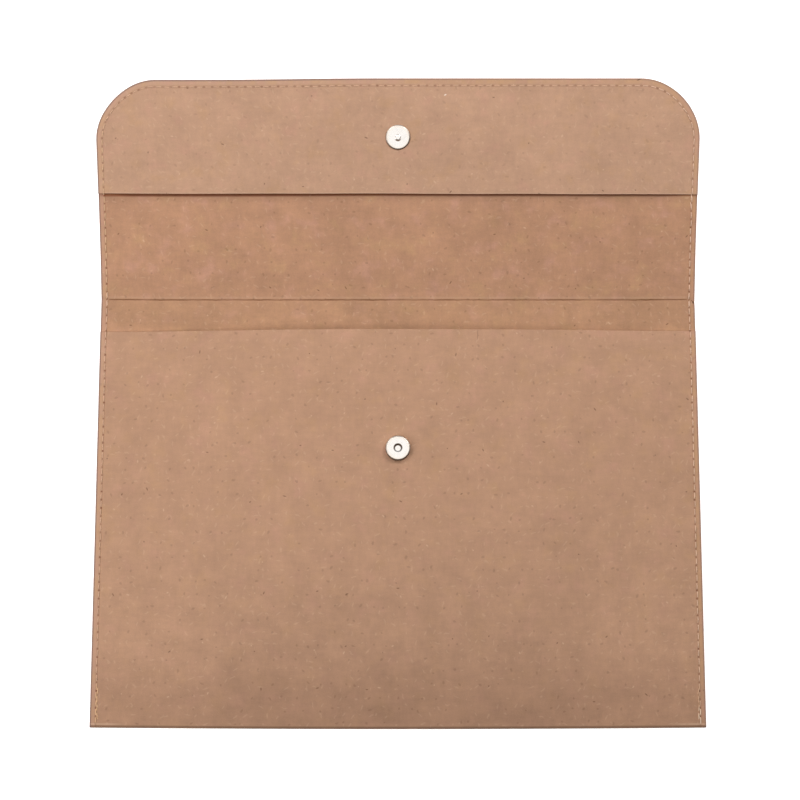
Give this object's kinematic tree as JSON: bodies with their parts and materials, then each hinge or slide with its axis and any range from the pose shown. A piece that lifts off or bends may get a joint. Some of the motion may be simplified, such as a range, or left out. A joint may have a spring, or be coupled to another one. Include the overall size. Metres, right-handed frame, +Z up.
{
  "type": "paper envelope",
  "caption": "Open document envelope folded from one kraft paper sheet, sewn along the sides and round its flap, with a round magnetic snap.",
  "frame": {"origin": "middle of the envelope's length and width, on the surface that its back rests on", "axes": "+X across the width, +Y from the bottom fold to the flap's tip, +Z up out of the front panel"},
  "size_m": [0.34, 0.3598, 0.0438],
  "materials": {
    "kraft_paper": "matte, finely mottled",
    "thread": "spun thread",
    "nickel_plate": "bright nickel plate",
    "bare_steel": "plain zinc-coated steel",
    "ferrite": "dull sintered ferrite"
  },
  "bodies": {
    "root": {"envelope_sheet": "kraft_paper", "flap_facing": "kraft_paper", "needle_thread": "thread", "bobbin_thread": "thread", "socket_cap": "nickel_plate", "socket_magnet": "ferrite", "socket_plate": "bare_steel", "socket_rivet": "nickel_plate", "socket_prongs": "bare_steel", "socket_washer": "bare_steel", "stud_disc": "nickel_plate", "stud_post": "nickel_plate", "stud_prongs": "bare_steel", "stud_washer": "bare_steel"}
  },
  "joints": []
}
